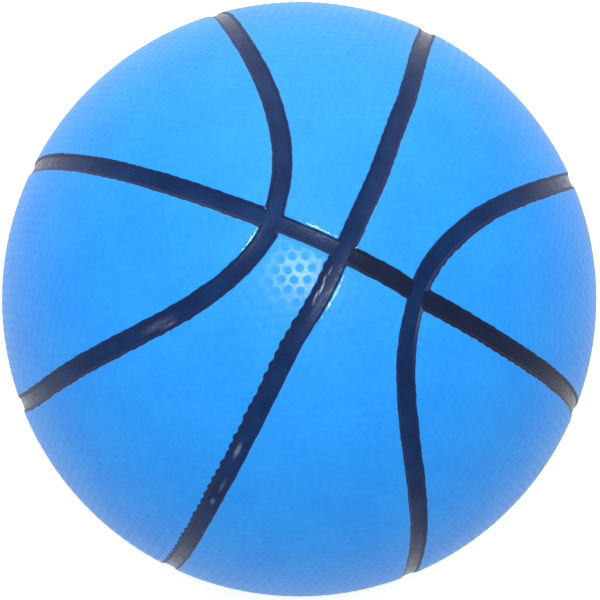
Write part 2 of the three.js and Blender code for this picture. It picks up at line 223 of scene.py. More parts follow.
# Gloss
WEB_ROUGHNESS = 0.42
POLISHED_ROUGHNESS = 0.26
PEBBLE_ROUGHNESS = 0.52
PAINT_ROUGHNESS = 0.5
POLISHED_PAINT = 0.16
SHOULDER_POLISH = 0.24
GRAIN_ROUGHNESS = 0.04
SEAM_ROUGHNESS = (0.24, 0.38)
RUBBER_ROUGHNESS_SPREAD = 0.08
THREAD_ROUGHNESS = (0.9, 0.7)
COVER_SPECULAR = 0.25
SEAM_SPECULAR = 0.12
RUBBER_SPECULAR = 0.2
# Share of a pebble's height from which it is matt
MATT_HEIGHT = 0.3

# Marks and relief: the size of their features, and the depth of a relief
PAINT_WOBBLE_SIZE = 5 * MM
PATCH_SIZE = 14 * MM
SPECK_SIZE = 1.3 * MM
GRAIN_SIZE = 0.35 * MM
GRAIN_DEPTH = 0.01 * MM
WEB_SWELL = 2.5 * MM
WEB_SWELL_DEPTH = 0.02 * MM
FADE_SIZE = 9 * MM
BRUSH_MARK_SIZE = 1.6 * MM
RIPPLE_SIZE = 1.1 * MM
RIPPLE_DEPTH = 0.04 * MM
# Noise that breaks up the worn places and the painted sheen on the seams, and its range
MARK_BREAKUP_SIZE = 0.9 * MM
MARK_BREAKUP_STRENGTH = (0.8, 1.1)
WEAR_AND_SHEEN_LIMITS = (0.1, 0.95)
RUBBER_GRAIN_DEPTH = 0.02 * MM
BLOOM_GRAINS = 20
THREAD_SIZE = 3 * MM
THREAD_DEPTH = 0.15 * MM
THREAD_WAVER = 1.5
# Values of a noise between which a mark comes up: the closer, the harder its border
SOFT_MARK = (0.2, 0.8)
CLEAR_MARK = (0.25, 0.75)
HARD_MARK = (0.3, 0.7)
BLOOM_MARK = (0.35, 0.75)

# Studio: a white floor and surroundings, a large soft light at the rear and above, a small lamp over the ball
FLOOR_SIZE = 8.0
FLOOR_WHITE = (0.8, 0.8, 0.8, 1)
FLOOR_ROUGHNESS = 0.9
FLOOR_GLOW = 0.55
WORLD_LIGHT = 0.52
SOFTBOX_DIRECTION = (-0.4, 0.75, 0.53)
SOFTBOX_DISTANCE = 1.2
SOFTBOX_SIZE = 1.8
SOFTBOX_POWER = 9.2
FRONT_LAMP_DIRECTION = (-0.125, -0.033, 0.9915)
FRONT_LAMP_DISTANCE = 0.65
FRONT_LAMP_SIZE = 0.14
FRONT_LAMP_POWER = 1.7

# View: the camera's axes in the ball's frame, its distance and its lens
CAMERA_UP = (-0.4165, 0.9007, 0.1234)
CAMERA_BACK = (-0.066, -0.1653, 0.984)
CAMERA_DISTANCE = 4.25 * BALL_RADIUS
SENSOR = 36.0
FRAME_PIXELS = 600
BALL_PIXELS = 297.38
BALL_CENTRE_PIXEL = (299.185, 299.155)


def unit(vectors):
    vectors = np.asarray(vectors, float)
    return vectors / np.linalg.norm(vectors, axis=-1, keepdims=True)


# Courses of the seams on a sphere of radius 1

class Circle:
    """Small circle on the sphere of radius 1, in a plane given by its normal and its distance."""

    def __init__(self, normal, level):
        self.normal = unit(normal)
        self.level = level

    def shifted(self, shift):
        """The circle that runs beside this one, at a distance along the ball's surface."""
        return Circle(self.normal, math.sin(math.asin(self.level) + shift / BALL_RADIUS))

    def meet(self, other, towards):
        """The common point of two circles on the side that towards points to."""
        cosine = self.normal @ other.normal
        sine_squared = 1 - cosine**2
        point = self.normal * (self.level - cosine * other.level) / sine_squared
        point = point + other.normal * (other.level - cosine * self.level) / sine_squared
        across = unit(np.cross(self.normal, other.normal))
        across = across * math.copysign(1, across @ np.asarray(towards, float))
        return point + across * math.sqrt(1 - point @ point)

    def arc(self, start, end, via, shares):
        """Points between two points of the circle, on the side that via points to."""
        hub = self.normal * self.level
        spoke = start - hub
        across = np.cross(self.normal, spoke)
        sweep = math.atan2((end - hub) @ across, (end - hub) @ spoke)
        middle = spoke * math.cos(sweep / 2) + across * math.sin(sweep / 2)
        if middle @ np.asarray(via, float) < 0:
            sweep -= math.copysign(2 * math.pi, sweep)
        angle = sweep * np.asarray(shares)[:, None]
        return hub + spoke * np.cos(angle) + across * np.sin(angle)


CENTRE_LEAN = CENTRE_SEAM_OFFSET / BALL_RADIUS
CENTRE_SEAM = Circle((1, -CENTRE_LEAN, 0), -CENTRE_LEAN / math.hypot(1, CENTRE_LEAN))
CROSS_SEAM = Circle((0, 1, 0), -CROSS_SEAM_OFFSET / BALL_RADIUS)
VALVE_EDGE = Circle((0, 1, 0), math.sqrt(1 - (VALVE_HOLE_RADIUS / BALL_RADIUS) ** 2))


def loop_direction(side, turn):
    middle = (LOOP_WAIST + LOOP_CROWN) / 2 + LOOP_SHOULDER
    swing = (LOOP_WAIST - LOOP_CROWN) / 2 + LOOP_FLARE
    bend = LOOP_SHOULDER * np.cos(4 * turn) + LOOP_FLARE * np.cos(6 * turn)
    angle = (middle + swing * np.cos(2 * turn) - bend) / BALL_RADIUS
    return np.stack(
        [side * np.sin(angle), np.cos(angle) * np.sin(turn), np.cos(angle) * np.cos(turn)], axis=-1
    )


def loop_points(side, shift, turns):
    """Points beside a loop seam; a positive shift leads away from the ball's middle plane."""
    turns = np.asarray(turns, float)
    points = loop_direction(side, turns)
    along = loop_direction(side, turns + SMALL_STEP) - loop_direction(side, turns - SMALL_STEP)
    sideways = unit(np.cross(along, points))
    sideways = sideways * (np.sign(sideways[..., :1]) * side)
    return points * math.cos(shift / BALL_RADIUS) + sideways * math.sin(shift / BALL_RADIUS)


def loop_crossing(side, shift, cross, end):
    """Turn at which a line beside a loop meets a line beside the cross seam, at the top or the bottom."""
    low, high = -CROSSING_TURN, CROSSING_TURN
    for _ in range(HALVINGS):
        middle = (low + high) / 2
        turn = middle if end == TOP else math.pi - middle
        if loop_points(side, shift, turn)[1] < cross.level:
            low = middle
        else:
            high = middle
    return low if end == TOP else math.pi - low


def loop_arc(side, shift, half, cross, shares):
    """Line beside a loop from the bottom to the top, through the front or the rear half."""
    start = loop_crossing(side, shift, cross, BOTTOM) - (2 * math.pi if half == FRONT else 0)
    end = loop_crossing(side, shift, cross, TOP)
    return loop_points(side, shift, start + (end - start) * np.asarray(shares))


def smooth_step(low, high, values):
    share = np.clip((values - low) / (high - low), 0, 1)
    return share * share * (3 - 2 * share)


def wander_shift(knots, places):
    """Sideways shift at each place, smooth between the knots."""
    shift = np.full(len(places), float(knots[0][1]))
    for (start, low), (end, high) in zip(knots[:-1], knots[1:]):
        shift = np.where(places > start, low + (high - low) * smooth_step(start, end, places), shift)
    return shift


def wandered(points):
    """Points of the sphere moved with the seams' wander, the same on both sides of the plane Z = 0."""
    x, y, z = points.T * BALL_RADIUS / MM
    near = 1 - smooth_step(*CENTRE_WANDER_REACH, np.abs(x))
    beside = wander_shift(LOOP_WANDER, y) * (1 - near) + wander_shift(CENTRE_WANDER, y) * near
    along = wander_shift(CROSS_WANDER, x) * (1 - smooth_step(*CROSS_WANDER_REACH, np.abs(y)))
    return unit(np.stack([x + beside, y + along, z], axis=-1))


def step_count(line_at, step):
    """Number of steps of about the given length along a line, without a shift."""
    points = line_at(0, np.linspace(0, 1, LENGTH_SAMPLES))
    length = np.linalg.norm(np.diff(points, axis=0), axis=1).sum() * BALL_RADIUS
    return max(LEAST_STEPS, round(length / step))


# Borders of the panels, each a list of edges as (seam's name, function that gives its points at an inset)

def centre_panel_edges(side, half):
    def lines(inset):
        shift = CHANNEL_HALF + inset
        return CENTRE_SEAM.shifted(side * shift), CROSS_SEAM.shifted(half * shift), shift

    def corner(inset, end):
        centre, cross, _ = lines(inset)
        return centre.meet(cross, (0, 0, end))

    def valve_corner(inset, end):
        centre, _, _ = lines(inset)
        return centre.meet(VALVE_EDGE.shifted(-inset), (0, 0, end))

    def loop_end(inset, end):
        _, cross, shift = lines(inset)
        return loop_points(side, -shift, loop_crossing(side, -shift, cross, end))

    def beside_centre(inset, shares):
        return lines(inset)[0].arc(corner(inset, TOP), corner(inset, BOTTOM), (0, half, 0), shares)

    def above_valve(inset, shares):
        return lines(inset)[0].arc(corner(inset, TOP), valve_corner(inset, TOP), (0, 1, 1), shares)

    def round_valve(inset, shares):
        ends = valve_corner(inset, TOP), valve_corner(inset, BOTTOM)
        return VALVE_EDGE.shifted(-inset).arc(*ends, (side, 0, 0), shares)

    def below_valve(inset, shares):
        return lines(inset)[0].arc(valve_corner(inset, BOTTOM), corner(inset, BOTTOM), (0, 1, -1), shares)

    def beside_cross_bottom(inset, shares):
        return lines(inset)[1].arc(corner(inset, BOTTOM), loop_end(inset, BOTTOM), (0, 0, -1), shares)

    def beside_loop(inset, shares):
        _, cross, shift = lines(inset)
        return loop_arc(side, -shift, half, cross, shares)

    def beside_cross_top(inset, shares):
        return lines(inset)[1].arc(loop_end(inset, TOP), corner(inset, TOP), (0, 0, 1), shares)

    inner = [("centre", beside_centre)]
    if half == REAR:
        inner = [("centre", above_valve), ("valve", round_valve), ("centre", below_valve)]
    return [*inner, ("cross", beside_cross_bottom), ("loop", beside_loop), ("cross", beside_cross_top)]


def side_panel_edges(side, half):
    def lines(inset):
        shift = CHANNEL_HALF + inset
        return CROSS_SEAM.shifted(half * shift), shift

    def loop_end(inset, end):
        cross, shift = lines(inset)
        return loop_points(side, shift, loop_crossing(side, shift, cross, end))

    def beside_cross(inset, shares):
        ends = loop_end(inset, TOP), loop_end(inset, BOTTOM)
        return lines(inset)[0].arc(*ends, (side, 0, 0), shares)

    def beside_loop(inset, shares):
        cross, shift = lines(inset)
        return loop_arc(side, shift, half, cross, shares)

    return [("cross", beside_cross), ("loop", beside_loop)]


def edge_shares(edges):
    """Shares of each edge at which its points lie, its last point left to the next edge."""
    counts = [step_count(edge, EDGE_STEP) for _, edge in edges]
    return [np.arange(count) / count for count in counts]


def border(edges, shares, inset):
    return np.concatenate([edge(inset, part) for (_, edge), part in zip(edges, shares)])


# Pebbles, in rows that run beside the straight seam of their panel

def row_points(line, towards, phase):
    """Points of one row, a pebble's pitch apart, counted from the side of the ball that towards points to."""
    hub = line.normal * line.level
    radius = math.sqrt(1 - line.level**2)
    spoke = np.asarray(towards, float)
    spoke = unit(spoke - line.normal * (spoke @ line.normal)) * radius
    across = np.cross(line.normal, spoke)
    step = PEBBLE_PITCH / BALL_RADIUS / radius
    count = int(math.pi / step)
    angle = (np.arange(-count, count + 1) + phase)[:, None] * step
    return hub + spoke * np.cos(angle) + across * np.sin(angle)


def pebble_centres(seam, direction, towards, reach):
    """Rows beside a plane seam, on the side of it that direction gives, out to a distance."""
    rows = []
    for index in range(int(reach / ROW_PITCH)):
        line = seam.shifted(direction * (CHANNEL_HALF + FIRST_ROW + index * ROW_PITCH))
        rows.append(row_points(line, towards, 0.5 * (index % 2)))
    centres = np.concatenate(rows)
    scatter = np.random.default_rng(SCATTER_SEED).uniform(-1, 1, centres.shape)
    return unit(centres + scatter * PEBBLE_SCATTER / BALL_RADIUS)


def pebble_vertices(centres):
    """Points of each pebble, its top and the rings round it, and their share of the pebble's height."""
    sideways = unit(np.cross(centres, RING_REFERENCE))
    other = np.cross(centres, sideways)
    parts = [centres]
    heights = [np.ones(len(centres))]
    for share, count in PEBBLE_RINGS:
        reach = share * PEBBLE_RADIUS / BALL_RADIUS
        for angle in np.arange(count) * 2 * math.pi / count:
            parts.append(unit(centres + reach * (math.cos(angle) * sideways + math.sin(angle) * other)))
            heights.append(np.full(len(centres), 1 - share**2))
    return np.concatenate(parts), np.concatenate(heights)


def nearest_distance(targets, points):
    """Distance from each point to the nearest of the targets."""
    tree = KDTree(len(targets))
    for index, target in enumerate(targets):
        tree.insert(target, index)
    tree.balance()
    return np.array([tree.find(point)[2] for point in points])


def pebble_share(centres, points):
    """Height of the cover over its web at each point, as a share of a pebble's height."""
    distance = nearest_distance(centres, points) * BALL_RADIUS
    return np.clip(1 - (distance / PEBBLE_RADIUS) ** 2, 0, 1)


# Flat maps of the panels

class Chart:
    """Stereographic map of the sphere about a direction. It keeps angles, so triangles stay well shaped."""

    def __init__(self, centre):
        self.centre = unit(centre)
        self.right = unit(np.cross((0.0, 0.0, 1.0), self.centre))
        self.up = np.cross(self.centre, self.right)

    def flat(self, points):
        scale = 2 / (1 + points @ self.centre)
        return np.stack([scale * (points @ self.right), scale * (points @ self.up)], axis=-1)


def inside(polygon, points):
    """True for each flat point inside a closed flat polygon."""
    result = np.zeros(len(points), bool)
    x, y = points.T
    for (ax, ay), (bx, by) in zip(polygon, np.roll(polygon, -1, axis=0)):
        if ay != by:
            crosses = (ay > y) != (by > y)
            result ^= crosses & (x < (bx - ax) * (y - ay) / (by - ay) + ax)
    return result


def signed_area(polygon):
    following = np.roll(polygon, -1, axis=0)
    return 0.5 * (polygon[:, 0] * following[:, 1] - polygon[:, 1] * following[:, 0]).sum()


def triangulate(chart, outline, points):
    """Triangles of an outline with points inside it, turned outwards; the outline's points come first."""
    corners = [Vector(point) for point in np.concatenate([chart.flat(outline), chart.flat(points)])]
    count = len(outline)
    ring = [(i, (i + 1) % count) for i in range(count)]
    found = delaunay_2d_cdt(corners, ring, [list(range(count))], INSIDE_ONLY, FLAT_TOLERANCE)
    source = [origins[0] for origins in found[3]]
    return [tuple(source[corner] for corner in face) for face in found[2]]


def lay_out(mesh, flat, back_faces):
    """Map for baked textures: the outer face and its rolled edge in one piece, the inner face in a corner."""
    low = flat.min(axis=0)
    size = (flat.max(axis=0) - low).max()
    spread = (flat - low) / size
    corners = np.zeros(len(mesh.loops), np.int32)
    mesh.loops.foreach_get("vertex_index", corners)
    places = spread[corners] * OUTER_CHART
    first = mesh.polygons[len(mesh.polygons) - back_faces].loop_start
    places[first:] = 1 - (1 - OUTER_CHART) * spread[corners[first:]] * INNER_CHART
    layer = mesh.uv_layers.new(name="OFBake")
    layer.data.foreach_set("uv", places.astype(np.float32).ravel())


# Meshes and pieces

def set_attribute(mesh, name, values):
    layer = mesh.attributes.new(name, "FLOAT", "POINT")
    layer.data.foreach_set("value", np.asarray(values, np.float32))


def shade_smooth(mesh):
    mesh.polygons.foreach_set("use_smooth", np.ones(len(mesh.polygons), bool))
    mesh.set_sharp_from_angle(angle=SHARP_ANGLE)


def turn_outwards(mesh):
    sheet = bmesh.new()
    sheet.from_mesh(mesh)
    bmesh.ops.recalc_face_normals(sheet, faces=sheet.faces)
    sheet.to_mesh(mesh)
    sheet.free()


def add_piece(mesh, material, body, slot, *nodes):
    piece = bpy.data.objects.new(mesh.name, mesh)
    bpy.context.scene.collection.objects.link(piece)
    mesh.materials.append(material)
    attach(piece, body)
    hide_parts(*nodes)
    return piece


# Panels

def panel_paint(kind, side, half):
    """Paint on each edge of a panel, with 1 added where it is black instead of navy."""
    paint = {"centre": CLEAN_PAINT, "cross": CLEAN_PAINT, "loop": CLEAN_PAINT, "valve": BARE_EDGE}
    paint.update(EDGE_PAINT.get((kind, side, half), {}))
    return {name: (*reach, float(name == "cross" and side == RIGHT)) for name, reach in paint.items()}


def paint_fields(edges, shares, paint, points):
    """How far the paint reaches past each point, how much further over a pebble, and whether it is black."""
    level = np.full(len(points), -np.inf)
    gain = np.zeros(len(points))
    black = np.zeros(len(points))
    along = points[:, 1] * BALL_RADIUS / PAINT_THINNING_LENGTH
    for (name, edge), part in zip(edges, shares):
        line = edge(0, np.linspace(0, 1, PAINT_SAMPLES * len(part)))
        distance = nearest_distance(line, points) * BALL_RADIUS
        reach, extra, thinning, blackness = paint[name]
        left = reach - thinning * np.exp(-along ** 2) - distance
        better = left > level
        level[better] = left[better]
        gain[better] = extra
        black[better] = blackness
    return level, gain, black


def polish_share(directions):
    """Share of gloss, falling off from the middle of the rubbed area."""
    distance = np.linalg.norm(directions - np.array(POLISH_CENTRE), axis=1) * BALL_RADIUS
    return np.exp(-(distance / POLISH_LENGTH) ** 2)


def roll_profile():
    """Rows of a rolled edge, from the wall's foot up: inset, depth, and inset if laid out flat."""
    rows = []
    for step in range(ROLL_STEPS):
        inset = EDGE_WIDTH * step / ROLL_STEPS
        rows.append((inset, EDGE_DEPTH * (1 - step / ROLL_STEPS) ** EDGE_POWER, inset))
    wall = WEB_RADIUS - EDGE_DEPTH - COVER_INNER
    return [(0.0, EDGE_DEPTH + wall, -wall), *rows]


def panel_pebbles(edges, shares, centres, chart):
    """Pebbles of a panel, those of their points that are clear of its rolled edge, and the points' share."""
    wide = chart.flat(border(edges, shares, -EDGE_SPILL))
    centres = centres[inside(wide, chart.flat(centres))]
    points, point_share = pebble_vertices(centres)
    kept = inside(chart.flat(border(edges, shares, EDGE_WIDTH + EDGE_CLEAR)), chart.flat(points))
    return centres, points[kept], point_share[kept]


def inner_points(edges, shares, centres, chart):
    """Points of a panel's hidden inner face, one for each few pebbles."""
    limit = chart.flat(border(edges, shares, EDGE_STEP))
    return centres[inside(limit, chart.flat(centres))][::INNER_SKIP]


def panel_relief(profile, rows, centres, outline, point_share, inner):
    """Share of a pebble's height, depth below the web, and share of the shoulder, at each point."""
    flush = np.zeros(len(outline) + len(point_share))
    share = [pebble_share(centres, outline), point_share]
    depth = [flush]
    shoulder = [flush]
    for row, (inset, row_depth, _) in zip(rows, profile):
        share.append(pebble_share(centres, row) * max(0, 1 - row_depth / EDGE_DEPTH))
        depth.append(np.full(len(row), row_depth))
        shoulder.append(np.full(len(row), 1 - smooth_step(SHOULDER, EDGE_WIDTH, inset)))
    share.append(np.zeros(len(inner)))
    depth.append(np.full(len(inner), WEB_RADIUS - COVER_INNER))
    shoulder.append(np.zeros(len(inner)))
    return np.concatenate(share), np.concatenate(depth), np.concatenate(shoulder)


def wall_faces(chart, outline, starts):
    """Faces between the rows of a rolled edge, given by the number of each row's first point."""
    count = len(outline)
    faces = []
    for low, high in zip(starts[:-1], starts[1:]):
        for i in range(count):
            j = (i + 1) % count
            faces.append((low + i, low + j, high + j, high + i))
    if signed_area(chart.flat(outline)) < 0:
        faces = [face[::-1] for face in faces]
    return faces


def back_face_list(chart, foot, foot_start, inner, inner_start):
    """Triangles of the inner face, between the foot of the wall and the inner points."""
    numbers = [*range(foot_start, foot_start + len(foot)), *range(inner_start, inner_start + len(inner))]
    return [tuple(numbers[corner] for corner in face[::-1]) for face in triangulate(chart, foot, inner)]


def panel_mesh(name, edges, paint, centres, chart):
    """Panel with its pebbles. Its points are the outline of the pebbled face, the points inside that outline,
    the rows of the rolled edge from the wall's foot up, and the points of the inner face."""
    shares = edge_shares(edges)
    profile = roll_profile()
    outline = border(edges, shares, EDGE_WIDTH)
    rows = [border(edges, shares, inset) for inset, _, _ in profile]
    centres, points, point_share = panel_pebbles(edges, shares, centres, chart)
    inner = inner_points(edges, shares, centres, chart)
    directions = np.concatenate([outline, points, *rows, inner])
    share, depth, shoulder = panel_relief(profile, rows, centres, outline, point_share, inner)
    radius = WEB_RADIUS - depth + PEBBLE_HEIGHT * share

    first_row = len(outline) + len(points)
    starts = [first_row + index * len(outline) for index in range(len(rows))] + [0]
    walls = wall_faces(chart, outline, starts)
    back = back_face_list(chart, rows[0], first_row, inner, len(directions) - len(inner))
    faces = [*triangulate(chart, outline, points), *walls, *back]
    mesh = bpy.data.meshes.new(name)
    mesh.from_pydata((wandered(directions) * radius[:, None]).tolist(), [], faces)
    shade_smooth(mesh)
    flat_rows = [chart.flat(border(edges, shares, laid_out)) for _, _, laid_out in profile]
    flat = np.concatenate([chart.flat(directions[:first_row]), *flat_rows, chart.flat(inner)])
    lay_out(mesh, flat, len(back))

    level, gain, black = paint_fields(edges, shares, paint, directions)
    polish = polish_share(directions)
    set_attribute(mesh, "pebble", share)
    set_attribute(mesh, "shoulder", shoulder)
    set_attribute(mesh, "polish", polish if name == RUBBED_PANEL else polish * shoulder)
    set_attribute(mesh, "paint_level", level / MM)
    set_attribute(mesh, "paint_gain", gain / MM)
    set_attribute(mesh, "paint_black", black)
    return mesh


def add_panel(kind, side, half, edges, centres, chart, material):
    node = f"{kind}_panel_{SIDE_NAME[side]}_{HALF_NAME[half]}"
    mesh = panel_mesh(node + "_pebbled", edges, panel_paint(kind, side, half), centres, chart)
    add_piece(mesh, material, "ball", "cover", node)


def add_panels(material):
    for side in (LEFT, RIGHT):
        for half in (FRONT, REAR):
            centres = pebble_centres(CENTRE_SEAM, side, (0, 0, 1), LOOP_CROWN)
            chart = Chart((CENTRE_CHART_SIDE * side, half, 0))
            add_panel("centre", side, half, centre_panel_edges(side, half), centres, chart, material)

            centres = pebble_centres(CROSS_SEAM, half, (side, 0, 0), BALL_RADIUS)
            chart = Chart((side, SIDE_CHART_HALF * half, 0))
            add_panel("side", side, half, side_panel_edges(side, half), centres, chart, material)


# Seam strips

def wear_and_sheen_at(points, line_at, marks):
    """Share of worn paint and of painted sheen and glints at each point."""
    wear_and_sheen = np.zeros(len(points))
    for place, shift, length, width, strength in marks:
        places = np.array([place - SMALL_STEP, place, place + SMALL_STEP])
        before, middle, after = line_at(shift * MM, places)
        along = unit(after - before)
        offset = (points - middle) * BALL_RADIUS / MM
        reach = (offset @ along / length) ** 2 + (offset @ np.cross(along, middle) / width) ** 2
        wear_and_sheen = np.maximum(wear_and_sheen, strength * np.exp(-reach))
    return wear_and_sheen


def ring_faces(around, along, closed):
    """Faces of a tube made of rows of points, with its two ends if it isn't closed to a ring."""
    faces = []
    for i in range(around):
        following = (i + 1) % around
        for j in range(along if closed else along - 1):
            k = (j + 1) % along
            faces.append((i * along + j, i * along + k, following * along + k, following * along + j))
    if not closed:
        faces.append([i * along for i in range(around)])
        faces.append([i * along + along - 1 for i in reversed(range(around))])
    return faces


def strip_mesh(name, line_at, closed, marks):
    """Strip along a channel. line_at gives the points of the line at a shift from the channel's middle."""
    half = CHANNEL_HALF - STRIP_CLEARANCE
    shifts = np.linspace(-half, half, STRIP_ACROSS + 1)
    steps = step_count(line_at, STRIP_STEP)
    shares = np.arange(steps) / steps if closed else np.linspace(0, 1, steps + 1)
    courses = [line_at(shift, shares) for shift in shifts]
    # Marks of worn paint and of painted sheen and glints, as a share at each point
    wear_and_sheen = wear_and_sheen_at(np.concatenate([*courses, courses[-1], courses[0]]), line_at, marks)
    lines = [wandered(course) for course in courses]
    lip = WEB_RADIUS - EDGE_DEPTH - STRIP_SINK
    tops = [line * (lip - STRIP_DISH * (1 - (shift / half) ** 2)) for line, shift in zip(lines, shifts)]
    rings = np.stack([*tops, lines[-1] * COVER_INNER, lines[0] * COVER_INNER])
    mesh = bpy.data.meshes.new(name)
    mesh.from_pydata(rings.reshape(-1, 3).tolist(), [], ring_faces(len(rings), len(shares), closed))
    turn_outwards(mesh)
    set_attribute(mesh, "wear_and_sheen", wear_and_sheen)
    shade_smooth(mesh)
    return mesh


def centre_line(shift, shares):
    line = CENTRE_SEAM.shifted(shift)
    ends = [line.meet(VALVE_EDGE, (0, 0, end)) for end in (TOP, BOTTOM)]
    return line.arc(*ends, (0, -1, 0), shares)


def loop_line(side):
    return lambda shift, shares: loop_points(side, shift, 2 * math.pi * np.asarray(shares))


def crossing_line(side, end):
    def line_at(shift, shares):
        line = CROSS_SEAM.shifted(shift)
        near = line.meet(CENTRE_SEAM.shifted(side * CHANNEL_HALF), (0, 0, end))
        far = loop_points(side, -CHANNEL_HALF, loop_crossing(side, -CHANNEL_HALF, line, end))
        return line.arc(near, far, (0, 0, end), shares)

    return line_at


def side_crossing_line(side):
    def line_at(shift, shares):
        line = CROSS_SEAM.shifted(shift)
        turns = [loop_crossing(side, CHANNEL_HALF, line, end) for end in (TOP, BOTTOM)]
        ends = [loop_points(side, CHANNEL_HALF, turn) for turn in turns]
        return line.arc(*ends, (side, 0, 0), shares)

    return line_at


def add_strip(node, line_at, material, closed=False, marks=()):
    mesh = strip_mesh(node + "_strip", line_at, closed, marks)
    add_piece(mesh, material, "ball", "seam", node)


def add_strips(navy, black):
    add_strip("centre_seam", centre_line, navy, marks=CENTRE_WEAR_AND_SHEEN)
    # Third value: marks of painted sheen on a loop seam, which only the left one has
    for side, cross_paint, loop_sheen in ((LEFT, navy, LEFT_LOOP_SHEEN), (RIGHT, black, ())):
        name = SIDE_NAME[side]
        add_strip(f"{name}_loop_seam", loop_line(side), navy, True, loop_sheen)
        add_strip(f"cross_seam_{name}", side_crossing_line(side), cross_paint)
        for end in (TOP, BOTTOM):
            add_strip(f"cross_seam_{END_NAME[end]}_{name}", crossing_line(side, end), cross_paint)


# Valve

def eased(profile):
    """Closed or open profile with each inner corner cut back to a small curve."""
    points = [np.asarray(point, float) for point in profile]
    result = [points[0]]
    for before, corner, after in zip(points[:-2], points[1:-1], points[2:]):
        back = before - corner
        forth = after - corner
        reach = min(VALVE_EASE, EASE_SHARE * np.linalg.norm(back), EASE_SHARE * np.linalg.norm(forth))
        first = corner + unit(back) * reach
        last = corner + unit(forth) * reach
        result.extend([first, (first + 2 * corner + last) / 4, last])
    return [*result, points[-1]]


def turned_mesh(name, profile):
    """Piece turned about the valve's axis. The profile's points are radius and level, from axis to axis or
    closed."""
    mesh = bpy.data.meshes.new(name)
    sheet = bmesh.new()
    corners = [sheet.verts.new((radius, level, 0)) for radius, level in profile]
    edges = [sheet.edges.new(pair) for pair in zip(corners[:-1], corners[1:])]
    bmesh.ops.spin(
        sheet, geom=corners + edges, axis=(0, 1, 0), cent=(0, 0, 0), angle=2 * math.pi, steps=TURN_STEPS,
        use_merge=True,
    )
    bmesh.ops.remove_doubles(sheet, verts=sheet.verts, dist=WELD_DISTANCE)
    bmesh.ops.recalc_face_normals(sheet, faces=sheet.faces)
    sheet.to_mesh(mesh)
    sheet.free()
    shade_smooth(mesh)
    return mesh


def plug_profile():
    return [
        (0, VALVE_FACE - NEEDLE_DEPTH),
        (NEEDLE_RADIUS, VALVE_FACE - NEEDLE_DEPTH),
        (NEEDLE_RADIUS, VALVE_FACE - PLUG_DISH),
        (PLUG_HEAD_RADIUS, VALVE_FACE),
        (PLUG_HEAD_RADIUS, PLUG_SEAT),
        (PLUG_SHAFT_RADIUS, PLUG_SEAT),
        (PLUG_SHAFT_RADIUS, PLUG_END + PLUG_TIP_LENGTH),
        (PLUG_TIP_RADIUS, PLUG_END),
        (0, PLUG_END),
    ]


def cap_profile(sphere_radius, start, end):
    return [(r, math.sqrt(sphere_radius**2 - r**2)) for r in np.linspace(start, end, CAP_STEPS + 1)]


def boot_profile():
    """Profile of the valve boot. Its flange and its inner end lie where the solid has them."""
    socket = PLUG_HEAD_RADIUS + PIECE_GAP
    neck = socket + VALVE_RIM
    groove = 0.5 * (socket + neck)
    bore = PLUG_SHAFT_RADIUS + PIECE_GAP
    bore_end = PLUG_END - PIECE_GAP
    solid = np.array([vertex.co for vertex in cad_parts["valve_boot"].data.vertices])
    off_axis = np.hypot(solid[:, 0], solid[:, 2])
    flange_radius = off_axis.max()
    flange = np.linalg.norm(solid[off_axis > neck + PIECE_GAP], axis=1).max()
    flange_inner = np.linalg.norm(solid[off_axis > flange_radius - PIECE_GAP], axis=1).min()
    inner_end = solid[:, 1].min()
    return [
        (groove, VALVE_FACE),
        (neck, VALVE_FACE),
        *cap_profile(flange, neck, flange_radius),
        *cap_profile(flange_inner, flange_radius, bore + BOOT_WALL),
        (bore + BOOT_WALL, inner_end),
        (AIR_DUCT_RADIUS, inner_end),
        (AIR_DUCT_RADIUS, bore_end),
        (bore, bore_end),
        (bore, PLUG_SEAT - PIECE_GAP),
        (socket, PLUG_SEAT - PIECE_GAP),
        (socket, VALVE_FACE),
        (groove, VALVE_FACE),
    ]


def add_valve(boot_material, plug_material):
    plug = turned_mesh("valve_plug_turned", eased(plug_profile()))
    add_piece(plug, plug_material, "valve_core", "plug", "valve_plug")
    boot = turned_mesh("valve_boot_turned", eased(boot_profile()))
    add_piece(boot, boot_material, "ball", "valve", "valve_boot")


# Nodes of the materials

def new_material(name):
    material = bpy.data.materials.new(name)
    material.use_nodes = True
    tree = material.node_tree
    return material, tree, tree.nodes["Principled BSDF"]


def feed(tree, socket, value):
    if isinstance(value, bpy.types.NodeSocket):
        tree.links.new(value, socket)
    else:
        socket.default_value = value


def attribute(tree, name):
    node = tree.nodes.new("ShaderNodeAttribute")
    node.attribute_name = name
    return node.outputs["Fac"]


def calculate(tree, operation, first, second):
    node = tree.nodes.new("ShaderNodeMath")
    node.operation = operation
    feed(tree, node.inputs[0], first)
    feed(tree, node.inputs[1], second)
    return node.outputs[0]


def ramp(tree, value, start, end, low=0.0, high=1.0):
    node = tree.nodes.new("ShaderNodeMapRange")
    node.interpolation_type = "SMOOTHSTEP"
    feed(tree, node.inputs["Value"], value)
    for name, number in (("From Min", start), ("From Max", end), ("To Min", low), ("To Max", high)):
        feed(tree, node.inputs[name], number)
    return node.outputs["Result"]


def mix_value(tree, share, first, second):
    node = tree.nodes.new("ShaderNodeMix")
    feed(tree, node.inputs[0], share)
    feed(tree, node.inputs[2], first)
    feed(tree, node.inputs[3], second)
    return node.outputs[0]


def mix_colour(tree, share, first, second):
    node = tree.nodes.new("ShaderNodeMix")
    node.data_type = "RGBA"
    feed(tree, node.inputs[0], share)
    feed(tree, node.inputs[6], first)
    feed(tree, node.inputs[7], second)
    return node.outputs[2]


def noise(tree, size, detail=2.0):
    """Noise with features of about the given size."""
    place = tree.nodes.new("ShaderNodeTexCoord")
    node = tree.nodes.new("ShaderNodeTexNoise")
    tree.links.new(place.outputs["Object"], node.inputs["Vector"])
    node.inputs["Scale"].default_value = 1 / size
    node.inputs["Detail"].default_value = detail
    return node.outputs["Fac"]


